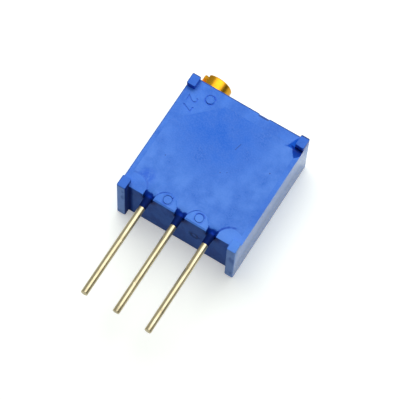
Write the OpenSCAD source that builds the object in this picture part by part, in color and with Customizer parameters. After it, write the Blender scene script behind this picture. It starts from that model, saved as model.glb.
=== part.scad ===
// Multi-turn trimmer potentiometer, sealed rectangular type, adjusted by a screw in its top side.
// Millimetres. It lies on its front face with the sealed back up: +X runs along the row of
// terminals, +Y from the terminals to the adjustment screw, +Z out of the back.
// The origin is on the axis of the middle terminal, in the plane of the foot ends that sit on
// a circuit board. Heights named *_z are measured up from the front face.

/* [Case] */
// Width of the case, along the row of terminals
case_w = 9.53; // [9.3:0.01:11]
// Height of the case, from the foot ends to the screw side
case_h = 10.03; // [9.9:0.01:12]
// Thickness of the case wall block, from the front face to the back face
back_z = 4.33; // [4.2:0.01:5.5]
// Rise of the four corner bosses above the back face
boss_rise = 0.5; // [0.2:0.01:0.8]
// Width of a corner boss and of the foot below it
boss_w = 0.68; // [0.5:0.01:0.9]
// Length of a corner boss
boss_l = 0.9; // [0.6:0.01:1.3]
// Reach of the feet below the terminal face
foot_h = 0.5; // [0.3:0.01:0.8]
// Radius of the upright outer edges
edge_r = 0.1; // [0.03:0.01:0.2]
// Thickness of the front wall
front_wall = 0.6; // [0.4:0.01:0.65]
// Thickness of the side walls beside the seal
side_wall = 0.36; // [0.3:0.01:0.4]
// Thickness of the wall on the screw side
screw_wall = 0.88; // [0.75:0.01:0.95]
// Thickness of the wall on the terminal side, between the ejector pads
terminal_wall = 0.4; // [0.3:0.01:0.5]
// Length of each leg of the solid corner round the screw bearing
corner_leg = 2.84; // [2.6:0.01:2.95]
// Distance of the nick in the back edge from the middle terminal
nick_x = 1.12; // [0.5:0.01:1.5]
// Width of the nick
nick_w = 0.82; // [0.3:0.01:1]
// Depth of the nick, along each of the two faces that meet at the edge
nick_depth = 0.13; // [0.05:0.01:0.2]

/* [Ejector pads] */
// Diameter of the ejector marks
ejector_d = 0.76; // [0.5:0.01:0.9]
// Width and depth of the groove round an ejector mark
ejector_groove = 0.05; // [0.03:0.01:0.08]
// Distance of the pads in the wall from the middle terminal
pad_x = 1.27; // [1.2:0.01:1.3]
// Radius of the pads in the wall
pad_r = 0.82; // [0.6:0.01:0.84]
// Distance of the pad centres from the terminal face
pad_rise = 0.25; // [0.15:0.01:0.35]
// Distance of the ejector marks from the terminal face
ejector_rise = 0.57; // [0.5:0.01:0.65]
// Radius of the pads in the two lower corners
corner_pad_r = 1; // [0.8:0.01:1.05]
// Distance of the corner pad centres from the outer sides
corner_pad_in = 0.85; // [0.7:0.01:0.95]
// Distance of the third ejector mark from the case side next to the screw
corner_mark_in = 2.02; // [1.9:0.01:2.1]
// Distance of the third ejector mark from the screw side
corner_mark_down = 0.98; // [0.85:0.01:1]
// Height of the round mark on the terminal face above the front face
face_mark_z = 2.36; // [1.5:0.01:2.8]
// Diameter of the round mark on the terminal face
face_mark_d = 0.85; // [0.6:0.01:0.9]

/* [Terminals] */
// Diameter of a terminal wire
lead_d = 0.51; // [0.4:0.01:0.6]
// Distance between neighbouring terminals
lead_pitch = 2.54; // [2.5:0.01:2.6]
// Depth of the terminal axes below the back face
lead_depth = 0.41; // [0.35:0.01:0.45]
// Length of the terminals below the foot ends
lead_reach = 7.6; // [3:0.1:15]
// Width of the flattened inner end
blade_w = 0.7; // [0.55:0.01:0.8]
// Thickness of the flattened inner end
blade_t = 0.3; // [0.2:0.01:0.35]
// Length of the flattened inner end on the board
blade_l = 1.3; // [0.9:0.01:1.6]
// Gap round a terminal in its slot in the wall
slot_gap = 0.16; // [0.1:0.01:0.17]

/* [Adjustment screw] */
// Distance of the screw axis from the nearer side
screw_in = 1.34; // [1.25:0.01:1.35]
// Height of the screw axis above the front face
screw_z = 1.9; // [1.85:0.01:1.95]
// Diameter of the head
head_d = 2.25; // [1.9:0.01:2.4]
// Height of the head above the case
head_l = 1.37; // [1:0.01:1.6]
// Edge chamfer of the head
head_chamfer = 0.08; // [0.03:0.01:0.15]
// Width of the driver slot
slot_w = 0.56; // [0.4:0.01:0.7]
// Depth of the driver slot
slot_depth = 0.76; // [0.5:0.01:0.9]
// Angle of the driver slot at mid travel, from the plane of the back face
slot_angle = 140; // [0:1:180]
// Diameter of the journal in the case
journal_d = 1.6; // [1.56:0.01:1.62]
// Diameter of the journal at the inner end
tail_d = 0.74; // [0.6:0.01:0.76]
// Running clearance of every journal, on the radius, and under the head
run_gap = 0.03; // [0.02:0.005:0.04]
// Wall between the wheel pocket and the seal groove
bearing_l = 1.6; // [1.3:0.01:1.8]
// Diameter of the groove for the sealing ring
ring_groove_d = 1.04; // [0.9:0.01:1.2]
// Width of the groove for the sealing ring
ring_groove_w = 0.42; // [0.35:0.01:0.5]
// Distance of the sealing ring groove from the screw side
ring_in = 0.5; // [0.4:0.01:0.7]
// Thickness of the inner bearing wall
rib_t = 0.6; // [0.5:0.01:0.7]
// Thickness of the retaining clip
clip_t = 0.15; // [0.1:0.01:0.2]
// Outer diameter of the retaining clip
clip_d = 1.5; // [1.3:0.01:1.6]
// Diameter of the groove for the retaining clip
clip_groove_d = 0.5; // [0.4:0.01:0.54]

/* [Worm gear] */
// Number of teeth of the worm wheel
wheel_teeth = 34; // [34:1:34]
// Pitch of the worm thread divided by pi
gear_module = 0.19; // [0.188:0.001:0.192]
// Pitch diameter of the worm
worm_pitch_d = 1.2; // [1.18:0.01:1.22]
// Pressure angle of the teeth
pressure_angle = 20; // [18:1:22]
// Height of the teeth above the pitch line, in modules
addendum = 0.8; // [0.7:0.01:0.85]
// Depth of the teeth below the pitch line, in modules
dedendum = 1; // [0.95:0.01:1.05]
// Play of a tooth in its gap, on each flank
backlash = 0.02; // [0.015:0.001:0.03]
// Length of the worm thread
worm_l = 3.5; // [3:0.1:3.5]
// Face width of the worm wheel
wheel_face = 1.2; // [1:0.01:1.25]
// Turns of the screw from one end stop to the other
screw_turns = 25; // [20:1:25]

/* [Rotor] */
// Height of the wheel centre above the foot ends
wheel_y = 5.3; // [5.25:0.01:5.4]
// Clearance round the wheel in its pocket
pocket_gap = 0.15; // [0.1:0.01:0.17]
// Diameter of the pivot post
post_d = 1.8; // [1.4:0.01:2]
// Diameter of the rotor hub
hub_d = 3.3; // [3:0.01:3.5]
// Inner radius of the toothed rim
rim_r = 2.6; // [2.4:0.01:2.7]
// Recess of the web below each face of the rim
web_recess = 0.12; // [0.05:0.01:0.2]
// Wall of the hub over the end of the post
hub_roof = 0.25; // [0.2:0.01:0.3]
// Inner radius of the end stops
stop_r = 1.85; // [1.75:0.01:1.9]
// Radial width of the end stops
stop_w = 0.6; // [0.4:0.01:0.7]
// Half of the angle that the rotor's stop lug takes
lug_half = 18; // [10:1:20]
// Play left at each end stop, in degrees
stop_play = 1; // [0.5:0.1:2]
// Diameter of the pegs that hold the wiper
peg_d = 0.36; // [0.3:0.01:0.4]

/* [Element] */
// Thickness of the ceramic board
board_t = 0.6; // [0.5:0.01:0.65]
// Gap between the board and the case round it
board_gap = 0.03; // [0.02:0.01:0.04]
// Thickness of the printed films
film_t = 0.03; // [0.02:0.005:0.05]
// Mean radius of the resistive track
track_r = 2.5; // [2.4:0.01:2.55]
// Width of the resistive track
track_w = 0.7; // [0.5:0.01:0.8]
// Mean radius of the collector ring
collector_r = 1.35; // [1.2:0.01:1.45]
// Width of the collector ring
collector_w = 0.5; // [0.4:0.01:0.6]
// Thickness of the wiper sheet
wiper_t = 0.08; // [0.06:0.01:0.1]
// Width of a wiper finger
finger_w = 0.36; // [0.25:0.01:0.45]
// Distance that a wiper finger runs, from the end of its arm to its contact
finger_l = 1.2; // [1.1:0.01:1.3]
// Radius of a wiper contact
contact_r = 0.1; // [0.08:0.01:0.12]
// Gap kept between a contact and its film
contact_gap = 0.02; // [0.015:0.001:0.03]
// Thickness of solder under a terminal
solder_t = 0.07; // [0.05:0.01:0.1]
// Margin of solder round a terminal's flat end
solder_margin = 0.14; // [0.08:0.01:0.16]
// Diameter of the plated holes through the board
via_d = 0.28; // [0.2:0.01:0.3]
// Distance of the plated holes from the lower edge of the board
via_rise = 0.75; // [0.65:0.01:0.8]
// Angle that the track runs past the wiper's travel, at each end
track_run = 5; // [3:0.5:6]
// Angle that an end conductor runs past the end of the track
track_land = 7; // [5:0.5:8]

/* [Seal] */
// Depth of the seal surface below the back face
seal_dip = 0.02; // [0.02:0.01:0.1]
// Cover of the seal over a terminal at the terminal face
seal_cover = 0.05; // [0.03:0.01:0.07]
// Height of the seal above the terminal axes, beside a terminal at the terminal face
slot_seal_rise = 0.06; // [0.02:0.01:0.2]
// Reach of the seal collars past the terminal face
collar_l = 0.72; // [0.4:0.01:0.9]
// Thickness of a collar at its outer end
collar_edge = 0.01; // [0.01:0.01:0.03]

/* [Hidden] */
$fn = 48;
cut = 0.5;                                     // how far cutting shapes run past a face
lap = 0.05;                                    // how far joined shapes run into each other

lead_z = back_z - lead_depth;                  // height of the terminal axes
half_w = case_w / 2;
pocket_x = half_w - side_wall;                 // side walls of the sealed pocket
pocket_top = case_h - screw_wall;
pocket_bottom = foot_h + terminal_wall;
// terminal slots in the wall, which clear the round wire and its flattened end
slot_r = max(lead_d / 2 + slot_gap, norm([blade_w, blade_t]) / 2 + 0.03);
pad_y = foot_h + pad_rise;
corner_pad_x = half_w - corner_pad_in;
corner_pad_y = pad_y - 0.1;

board_back = lead_z - blade_t / 2 - solder_t - film_t;
board_front = board_back - board_t;
// the board ends just above the tops of the pads
board_bottom = max(pad_y + pad_r, corner_pad_y + corner_pad_r) + 0.05;
film_front = board_front - film_t;

screw_x = screw_in - half_w;
worm_pitch_r = worm_pitch_d / 2;
worm_tip_r = worm_pitch_r + addendum * gear_module;
worm_root_r = worm_pitch_r - dedendum * gear_module;
thread_pitch = PI * gear_module;
journal_r = journal_d / 2;
bore_r = journal_r + run_gap;
tail_r = tail_d / 2;

wheel_pitch_r = gear_module * wheel_teeth / 2;
wheel_tip_r = wheel_pitch_r + addendum * gear_module;
wheel_root_r = wheel_pitch_r - dedendum * gear_module;
wheel_x = screw_x + worm_pitch_r + wheel_pitch_r;
wheel_bottom = screw_z - wheel_face / 2;
wheel_top = screw_z + wheel_face / 2;
pocket_r = wheel_tip_r + pocket_gap;
tooth_slant = atan(gear_module / worm_pitch_d);
// turn of the teeth from one face of the wheel to the other
tooth_twist = wheel_face * tan(tooth_slant) / wheel_pitch_r * 180 / PI;

worm_start = wheel_y - worm_l / 2;
worm_end = wheel_y + worm_l / 2;
rib_top = worm_start - 0.15;                   // inner bearing wall, just past the thread
rib_bottom = rib_top - rib_t;
clip_play = 0.04;                              // between the clip and the inner bearing
clip_y = rib_bottom - clip_play - clip_t;
tail_over = 0.2;                               // screw past its clip, and space past the screw
tail_end = clip_y - tail_over;
chamber_bottom = tail_end - tail_over;
journal_start = case_h - screw_wall - bearing_l;
ring_play = 0.02;                              // on each side of the sealing ring
ring_chamfer = 0.08;

rotor_travel = screw_turns * 360 / wheel_teeth;
// half of the angle that the case's stop takes, so that the rotor turns just rotor_travel
stop_half = 180 - rotor_travel / 2 - lug_half - stop_play;
float_gap = 0.02;                              // under the rotor, so that it turns freely
lug_gap = 0.04;                                // under the rotor's lug, above the hub's end
stop_gap = 0.15;                               // between the case's stop and the web above it
peg_over = 0.06;                               // pegs past the wiper sheet
ring_gap = 0.015;                              // between the sealing ring and the bore
lug_top = wheel_bottom + web_recess;
post_top = wheel_top - hub_roof - run_gap;
track_half = rotor_travel / 2 + track_run;
via_y = board_bottom + via_rise;
via_r = via_d / 2;
strip_r = via_r + 0.1;                         // half width of the printed strips
film_relief = 0.07;                            // free space in front of the strips
land_in = 0.05;                                // from the board's edge to a solder land
solder_in = 0.05;                              // from the edge of a land to its solder

// Places its children, modelled up from the front face, in the part's frame.
module in_case() translate([0, 0, -lead_z]) children();

// A plate of size w by l with rounded corners, from y0 up.
module rounded_2d(w, l, r) {
    translate([-w / 2 + r, 0]) square([w - 2 * r, l]);
    translate([-w / 2, r]) square([w, l - 2 * r]);
    for (x = [-w / 2 + r, w / 2 - r], y = [r, l - r]) translate([x, y]) circle(r);
}

// A straight bar of width w between two points, with round ends.
module bar_2d(p, q, w) {
    d = q - p;
    translate(p) rotate(atan2(d[1], d[0])) translate([0, -w / 2]) square([norm(d), w]);
    translate(p) circle(w / 2);
    translate(q) circle(w / 2);
}

// A ring sector from angle a0 to a1, between radii r0 and r1.
module sector(r0, r1, a0, a1, h) {
    rotate([0, 0, a0]) rotate_extrude(angle = a1 - a0) translate([r0, 0]) square([r1 - r0, h]);
}

// A round bar along +Y on the screw axis.
module on_screw_axis(y) translate([screw_x, y, screw_z]) rotate([-90, 0, 0]) children();

// ---- Case ---------------------------------------------------------------------------------

// Outline of the sealed pocket in the back, with the solid corner round the screw bearing and
// the pads that the ejector pins push on left standing. A gap draws every side in.
module pocket_2d(bottom, gap, pads) {
    leg = corner_leg + gap * (2 - sqrt(2));
    x = pocket_x - gap;
    top = pocket_top - gap;
    difference() {
        polygon([[-x, bottom], [x, bottom], [x, top], [-x + leg, top], [-x, top - leg]]);
        if (pads) {
            for (side = [-1, 1]) {
                translate([side * pad_x, pad_y]) circle(pad_r);
                translate([side * corner_pad_x, corner_pad_y]) circle(corner_pad_r);
            }
        }
    }
}

// Fine groove round an ejector mark of diameter d, cut into the face z = 0.
module ejector_mark(d) {
    difference() {
        cylinder(h = 2 * ejector_groove, d = d, center = true);
        cylinder(h = 3 * ejector_groove, d = d - 2 * ejector_groove, center = true);
    }
}

module housing_outside() {
    translate([0, foot_h, 0]) linear_extrude(back_z) rounded_2d(case_w, case_h - foot_h, edge_r);
    for (side = [-1, 1]) translate([side * (half_w - boss_w / 2), 0, 0]) {
        linear_extrude(back_z + boss_rise) rounded_2d(boss_w, boss_l, edge_r);
        translate([0, case_h - boss_l, 0])
            linear_extrude(back_z + boss_rise) rounded_2d(boss_w, boss_l, edge_r);
    }
}

// The space round the worm, its inner bearing wall left standing, and the clip's chamber.
module worm_channel() {
    channel_h = board_front - screw_z + 0.01;
    translate([screw_x - bore_r, rib_top, screw_z])
        cube([2 * bore_r, journal_start - rib_top, channel_h]);
    translate([screw_x - bore_r, chamber_bottom, screw_z - bore_r])
        cube([2 * bore_r, rib_bottom - chamber_bottom, channel_h + bore_r]);
}

// Shallow relief in the ledge under the board, where the printed strips and platings come out.
module strip_relief() {
    w = 2 * lead_pitch + 2 * (strip_r + 0.15);
    translate([-w / 2, board_bottom, film_front - film_relief])
        cube([w, wheel_y - board_bottom, board_front - film_front + film_relief + 0.01]);
}

module housing() {
    color("royalblue") in_case() difference() {
        housing_outside();
        difference() {
            union() {
                translate([wheel_x, wheel_y, front_wall])
                    cylinder(h = board_front - front_wall + 0.01, r = pocket_r, $fn = 96);
                worm_channel();
                strip_relief();
                on_screw_axis(rib_top) cylinder(h = case_h - rib_top + cut, r = bore_r);
                on_screw_axis(chamber_bottom)
                    cylinder(h = rib_top - chamber_bottom + 0.1, r = tail_r + run_gap);
            }
            translate([wheel_x, wheel_y, 0]) cylinder(h = post_top, d = post_d);
            translate([wheel_x, wheel_y, front_wall])
                sector(stop_r, stop_r + stop_w, 270 - stop_half, 270 + stop_half,
                       lug_top - front_wall - stop_gap);
        }
        translate([0, 0, board_front])
            linear_extrude(back_z) pocket_2d(board_bottom, 0, false);
        translate([0, 0, board_back]) linear_extrude(back_z) pocket_2d(pocket_bottom, 0, true);
        for (n = [-1, 0, 1]) translate([n * lead_pitch, foot_h - cut, lead_z]) {
            rotate([-90, 0, 0]) cylinder(h = board_bottom - foot_h + 2 * cut, r = slot_r);
            translate([-slot_r, 0, 0]) cube([2 * slot_r, board_bottom - foot_h + 2 * cut, back_z]);
        }
        for (side = [-1, 1])
            translate([side * pad_x, foot_h + ejector_rise, back_z]) ejector_mark(ejector_d);
        translate([corner_mark_in - half_w, case_h - corner_mark_down, back_z])
            ejector_mark(ejector_d);
        translate([pad_x, foot_h, face_mark_z]) rotate([90, 0, 0]) ejector_mark(face_mark_d);
        translate([nick_x, case_h, back_z]) rotate([45, 0, 0])
            cube([nick_w, sqrt(2) * nick_depth, sqrt(2) * nick_depth], center = true);
    }
}

// ---- Seal ---------------------------------------------------------------------------------

// Terminal n, a round wire flattened from the terminal face inwards. The seal and the solder
// have this shape taken out of them.
module terminal_shape(n) {
    translate([n * lead_pitch, -lead_reach, lead_z])
        rotate([-90, 0, 0]) cylinder(h = lead_reach + foot_h + 0.1, d = lead_d);
    translate([n * lead_pitch - blade_w / 2, foot_h, lead_z - blade_t / 2])
        cube([blade_w, board_bottom + blade_l - foot_h, blade_t]);
}

// Epoxy in the mouth of a terminal slot: level with the pool inside, sloping down beside the
// terminal to the terminal face, and drawn out along the terminal as a collar.
module slot_fill(n) {
    top = back_z - seal_dip;
    mouth = lead_z + slot_seal_rise;
    collar_r = lead_d / 2 + collar_edge;
    cone_l = collar_l + terminal_wall;
    translate([n * lead_pitch, 0, 0]) {
        intersection() {
            union() {
                translate([0, foot_h, lead_z]) rotate([-90, 0, 0])
                    cylinder(h = board_bottom - foot_h, r = slot_r);
                translate([-slot_r, foot_h, lead_z])
                    cube([2 * slot_r, board_bottom - foot_h, top - lead_z]);
            }
            translate([-slot_r, 0, 0]) rotate([90, 0, 90]) linear_extrude(2 * slot_r)
                polygon([[foot_h, 0], [board_bottom, 0], [board_bottom, top],
                         [pocket_bottom, top], [foot_h, mouth]]);
        }
        // the collar goes on as a ridge inside the slot, as a single cone
        translate([0, foot_h - collar_l, lead_z]) rotate([-90, 0, 0])
            cylinder(h = cone_l, r1 = collar_r,
                     r2 = collar_r + (seal_cover - collar_edge) * cone_l / collar_l);
    }
}

module rear_seal() {
    color("mediumblue") in_case() difference() {
        union() {
            translate([0, 0, board_back])
                linear_extrude(back_z - seal_dip - board_back) pocket_2d(pocket_bottom, 0, true);
            for (n = [-1, 0, 1]) slot_fill(n);
        }
        for (n = [-1, 0, 1]) {
            terminal_shape(n);
            solder_shape(n);
            conductor_back(n);
        }
    }
}

// ---- Adjustment screw ---------------------------------------------------------------------

// A worm as one closed surface: a root core with a single thread ridge, its first and last
// thirds of a turn rising out of the core. It runs up +Z from z = 0 and the ridge passes the
// direction +X at height z_ridge. Each step of the helix has four points across the ridge.
module worm(length, z_ridge) {
    steps = 30;
    ramp = steps / 3;
    slope = tan(pressure_angle);
    half_pitch_w = thread_pitch / 4 - backlash;
    root_half = half_pitch_w + (worm_pitch_r - worm_root_r) * slope;
    // the first ridge that fits above the lower end, counted in turns from z_ridge
    first = ceil((root_half + 0.05 - z_ridge) / thread_pitch);
    low = z_ridge + first * thread_pitch;
    n = steps * floor((length - 0.05 - root_half - low) / thread_pitch);
    function lift(i) = min(1, (i + 1) / ramp, (n - i + 1) / ramp);
    function tip(i) = worm_root_r + (worm_tip_r - worm_root_r) * lift(i);
    function half(r) = half_pitch_w - (r - worm_pitch_r) * slope;
    function place(r, i, z) = [r * cos(360 * i / steps), r * sin(360 * i / steps), z];
    function across(i, j) =
        let (z = low + thread_pitch * i / steps, r = (j == 0 || j == 3) ? worm_root_r : tip(i),
             h = (j == 0 || j == 3) ? root_half : half(r))
        place(r, i, z + (j < 2 ? -h : h));
    ridge = [for (i = [0:n], j = [0:3]) across(i, j)];
    lower = [for (i = [0:steps - 1]) place(worm_root_r, i, 0)];
    upper = [for (i = [0:steps - 1]) place(worm_root_r, i, length)];
    function p(i, j) = 4 * i + j;
    function lo(i) = 4 * (n + 1) + i % steps;
    function up(i) = 4 * (n + 1) + steps + i % steps;
    faces = concat(
        [for (i = [0:n - 1], j = [0:2]) [p(i, j), p(i, j + 1), p(i + 1, j + 1), p(i + 1, j)]],
        [for (i = [0:n - steps - 1]) [p(i, 3), p(i + steps, 0), p(i + steps + 1, 0), p(i + 1, 3)]],
        [for (i = [0:steps - 2]) [lo(i), p(i, 0), p(i + 1, 0), lo(i + 1)]],
        [[lo(steps - 1), p(steps - 1, 0), p(steps, 0), p(0, 3), p(0, 0), lo(0)]],
        [for (i = [n - steps + 1:n - 1]) [p(i, 3), up(i), up(i + 1), p(i + 1, 3)]],
        [[up(n - steps + 1), p(n - steps + 1, 3), p(n - steps, 3), p(n, 0), p(n, 3), up(n)]],
        [[p(0, 0), p(0, 3), p(0, 2), p(0, 1)], [p(n, 0), p(n, 1), p(n, 2), p(n, 3)]],
        [[for (i = [0:steps - 1]) lo(i)], [for (i = [steps - 1:-1:0]) up(i)]]);
    polyhedron(points = concat(ridge, lower, upper), faces = faces, convexity = 10);
}

module adjustment_screw() {
    groove_y = case_h - ring_in - ring_groove_w;
    color("gold") in_case() difference() {
        union() {
            // the spine shows as the tail below the thread and as the relief above it
            on_screw_axis(tail_end) cylinder(h = journal_start + lap - tail_end, r = tail_r);
            // the worm's +X side is the side that meets the wheel; a wheel tooth stands at
            // wheel_y there, so a gap of the thread does too
            on_screw_axis(worm_start) worm(worm_l, (worm_l + thread_pitch) / 2);
            on_screw_axis(journal_start) cylinder(h = groove_y - journal_start, r = journal_r);
            on_screw_axis(groove_y - lap) cylinder(h = ring_groove_w + 2 * lap, d = ring_groove_d);
            on_screw_axis(groove_y + ring_groove_w)
                cylinder(h = ring_in + run_gap + lap, r = journal_r);
            on_screw_axis(case_h + run_gap)
                cylinder(h = head_l - head_chamfer - run_gap, d = head_d);
            on_screw_axis(case_h + head_l - head_chamfer)
                cylinder(h = head_chamfer, d1 = head_d, d2 = head_d - 2 * head_chamfer);
        }
        on_screw_axis(case_h + head_l - slot_depth) rotate([0, 0, -slot_angle])
            translate([-head_d, -slot_w / 2, 0]) cube([2 * head_d, slot_w, slot_depth + cut]);
        on_screw_axis(clip_y) difference() {
            cylinder(h = clip_t, d = 2 * tail_d);
            cylinder(h = clip_t, d = clip_groove_d);
        }
    }
}

// Rubber ring, squeezed between the bottom of its groove and the bore.
module sealing_ring() {
    w = ring_groove_w - 2 * ring_play;
    r1 = bore_r - ring_gap;
    r0 = ring_groove_d / 2;
    c = ring_chamfer;
    color("black") in_case() on_screw_axis(case_h - ring_in - ring_groove_w + ring_play)
        rotate_extrude() polygon([[r0, c], [r0 + c, 0], [r1 - c, 0], [r1, c],
                                  [r1, w - c], [r1 - c, w], [r0 + c, w], [r0, w - c]]);
}

// Open retaining clip, pushed onto the tail of the screw from the back of the case.
module screw_clip() {
    color("silver") in_case() on_screw_axis(clip_y) difference() {
        cylinder(h = clip_t, d = clip_d);
        translate([0, 0, -cut]) cylinder(h = clip_t + 2 * cut, d = clip_groove_d);
        translate([-clip_groove_d / 2 + 0.02, -clip_d, -cut])
            cube([clip_groove_d - 0.04, clip_d, clip_t + 2 * cut]);
    }
}

// ---- Rotor --------------------------------------------------------------------------------

function involute(a) = tan(a) * 180 / PI - a;
wheel_base_r = wheel_pitch_r * cos(pressure_angle);
// half of the angle that a tooth takes at radius r
function tooth_half(r) = 90 / wheel_teeth + involute(pressure_angle)
    - involute(acos(min(1, wheel_base_r / r)));
flank_steps = 3;
tooth_flank = [for (k = [0:flank_steps])
    let (r = wheel_root_r + (wheel_tip_r - wheel_root_r) * k / flank_steps) [r, tooth_half(r)]];

module wheel_teeth_2d() {
    polygon([for (t = [0:wheel_teeth - 1])
        for (side = [-1, 1], k = [0:flank_steps])
            let (f = tooth_flank[side < 0 ? k : flank_steps - k],
                 a = 360 * t / wheel_teeth + side * f[1])
            f[0] * [cos(a), sin(a)]]);
}

module worm_wheel() {
    bottom = front_wall + float_gap;
    color("ivory") in_case() translate([wheel_x, wheel_y, 0]) {
        difference() {
            union() {
                translate([0, 0, wheel_bottom]) rotate([0, 0, -tooth_twist / 2])
                    linear_extrude(wheel_face, twist = -tooth_twist, slices = 2)
                        difference() {
                            wheel_teeth_2d();
                            circle(rim_r);
                        }
                translate([0, 0, wheel_bottom + web_recess])
                    cylinder(h = wheel_face - 2 * web_recess, r = (rim_r + wheel_root_r) / 2);
                translate([0, 0, bottom]) cylinder(h = wheel_top - bottom, d = hub_d);
                translate([0, 0, bottom + lug_gap])
                    sector(stop_r, stop_r + stop_w, 90 - lug_half, 90 + lug_half,
                           lug_top - bottom);
            }
            translate([0, 0, -cut])
                cylinder(h = wheel_top - hub_roof + cut, d = post_d + 2 * run_gap);
        }
        for (side = [-1, 1]) translate([side * post_d / 3, 0, wheel_top - lap])
            cylinder(h = lap + wiper_t + peg_over, d = peg_d);
    }
}

// A spring finger of the wiper, rising along +X from the sheet to a round contact at the origin
// of the finger's own frame.
module finger(length) {
    contact_z = film_front - contact_gap - contact_r;
    rise = contact_z - wheel_top - wiper_t / 2;
    tilt = atan(rise / length);
    translate([0, -finger_w / 2, contact_z]) {
        rotate([0, -tilt, 0]) translate([-length / cos(tilt), 0, -wiper_t / 2])
            cube([length / cos(tilt), finger_w, wiper_t]);
        rotate([-90, 0, 0]) cylinder(h = finger_w, r = contact_r, $fn = 24);
    }
}

module wiper() {
    color("goldenrod") in_case() translate([wheel_x, wheel_y, 0]) {
        translate([0, 0, wheel_top]) linear_extrude(wiper_t) difference() {
            union() {
                circle(hub_d / 3);
                bar_2d([0, 0], [-finger_l, track_r], finger_w);
                bar_2d([0, 0], [finger_l, -collector_r], finger_w);
            }
            for (side = [-1, 1]) translate([side * post_d / 3, 0]) circle(d = peg_d + 0.02);
        }
        translate([0, track_r, 0]) finger(finger_l);
        rotate([0, 0, 180]) translate([0, collector_r, 0]) finger(finger_l);
    }
}

// ---- Element ------------------------------------------------------------------------------

module via(n, r) translate([n * lead_pitch, via_y]) circle(r, $fn = 24);

module ceramic_board() {
    color("white") in_case() translate([0, 0, board_front]) linear_extrude(board_t)
        difference() {
            pocket_2d(board_bottom + board_gap, board_gap, false);
            for (n = [-1, 0, 1]) via(n, via_r);
        }
}

module track_2d(grow) {
    a = track_half + grow;
    difference() {
        circle(track_r + track_w / 2, $fn = 96);
        circle(track_r - track_w / 2, $fn = 96);
        polygon([[0, 0], for (t = [a:(360 - 2 * a) / 4:360 - a]) case_w * [sin(t), cos(t)]]);
    }
}

module resistive_track() {
    color("dimgray") in_case() translate([wheel_x, wheel_y, film_front])
        linear_extrude(film_t) track_2d(0);
}

// Solder land of terminal n on the back of the board.
module conductor_back(n) {
    translate([n * lead_pitch, board_bottom + board_gap + land_in, board_back])
        linear_extrude(film_t) rounded_2d(blade_w + 2 * solder_margin, blade_l + solder_margin, 0.1);
}

// Plating through the board, and a strip on its front from there to a point round the wheel.
module conductor_front(n, to) {
    translate([0, 0, board_front]) linear_extrude(board_t) via(n, via_r);
    translate([0, 0, film_front]) linear_extrude(film_t)
        bar_2d([n * lead_pitch, via_y], [wheel_x, wheel_y] + to, 2 * strip_r);
}

module end_conductor(n) {
    middle = track_half + track_land / 2;
    to = track_r * [n * sin(middle), cos(middle)];
    color("gainsboro") in_case() difference() {
        union() {
            conductor_back(n);
            conductor_front(n, to);
            translate([wheel_x, wheel_y, film_front]) linear_extrude(film_t) difference() {
                track_2d(track_land);
                rotate(n * 90) translate([-case_w, 0]) square([2 * case_w, case_w]);
            }
        }
        translate([wheel_x, wheel_y, film_front - film_t]) linear_extrude(2 * film_t) track_2d(0);
    }
}

module wiper_conductor() {
    color("gainsboro") in_case() {
        conductor_back(0);
        difference() {
            union() {
                conductor_front(0, [0, -collector_r]);
                translate([wheel_x, wheel_y, film_front]) linear_extrude(film_t)
                    circle(collector_r + collector_w / 2);
            }
            translate([wheel_x, wheel_y, film_front - film_t])
                cylinder(h = 2 * film_t, r = collector_r - collector_w / 2);
        }
    }
}

module end_conductor_1() end_conductor(-1);
module end_conductor_3() end_conductor(1);

// ---- Terminals ----------------------------------------------------------------------------

module terminal(n) color("tan") in_case() terminal_shape(n);
module terminal_1() terminal(-1);
module terminal_2() terminal(0);
module terminal_3() terminal(1);

module solder_shape(n) {
    w = blade_w + 2 * (solder_margin - solder_in);
    l = blade_l + solder_margin - 2 * solder_in;
    translate([n * lead_pitch, board_bottom + board_gap + land_in + solder_in, board_back + film_t])
        linear_extrude(solder_t + 0.6 * blade_t) rounded_2d(w, l, 0.15);
}

module solder(n) {
    color("silver") in_case() difference() {
        solder_shape(n);
        terminal_shape(n);
    }
}

module solder_1() solder(-1);
module solder_2() solder(0);
module solder_3() solder(1);

housing();
rear_seal();
adjustment_screw();
sealing_ring();
screw_clip();
worm_wheel();
wiper();
ceramic_board();
resistive_track();
wiper_conductor();
end_conductor_1();
end_conductor_3();
terminal_1();
terminal_2();
terminal_3();
solder_1();
solder_2();
solder_3();
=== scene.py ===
# %% [markdown]
# # A sealed trimmer potentiometer
# The real thing is a blue plastic case hardly a centimetre across. It is filled at the back with
# blue epoxy, three tinned wires come out of one side, and a slotted brass screw out of the other.
# It could be drawn from nothing, but its sizes are already settled in a solid model. So this
# lesson loads that model as a frame, and then makes the finished surface of each piece on it.

# %% The frame
import math
import bpy
from mathutils import Matrix, Vector


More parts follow.
